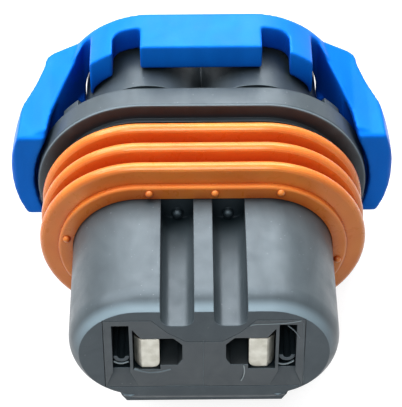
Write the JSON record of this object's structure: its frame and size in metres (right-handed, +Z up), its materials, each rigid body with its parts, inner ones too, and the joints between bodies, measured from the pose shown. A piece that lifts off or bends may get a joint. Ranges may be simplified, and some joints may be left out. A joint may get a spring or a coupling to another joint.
{
  "type": "sealed automotive connector",
  "caption": "Sealed automotive socket connector: oval keyed plug with recessed socket contacts, ribbed perimeter seal, flange, sealed rear wire towers and a sliding lock ring with side arms",
  "frame": {"origin": "centre of the mating face, where the mating axis leaves the plug", "axes": "+X to the right when looking into the mating face from the front with +Z up, +Y along the mating axis towards the wires, +Z up, out of the keyed side of the plug"},
  "size_m": [0.0334, 0.0311, 0.0219],
  "materials": {
    "housing_plastic": "moulded glass-filled polyester, satin",
    "retainer_plastic": "moulded glass-filled polyester, satin",
    "seal_silicone": "oiled silicone rubber",
    "lock_plastic": "moulded, semi-gloss",
    "tinned_copper": "tin-plated copper alloy, bright",
    "cable_silicone": "silicone rubber"
  },
  "bodies": {
    "connector": {"housing": "housing_plastic", "front_retainer": "retainer_plastic", "perimeter_seal": "seal_silicone", "terminal_left": "tinned_copper", "terminal_right": "tinned_copper", "cable_seal_left": "cable_silicone", "cable_seal_right": "cable_silicone"},
    "lock": {"lock_ring": "lock_plastic"}
  },
  "joints": [
    {"name": "lock_slide", "type": "slide", "parent": "connector", "child": "lock", "axis": [0, -1, 0], "range_m": [0, 0.0015]}
  ]
}
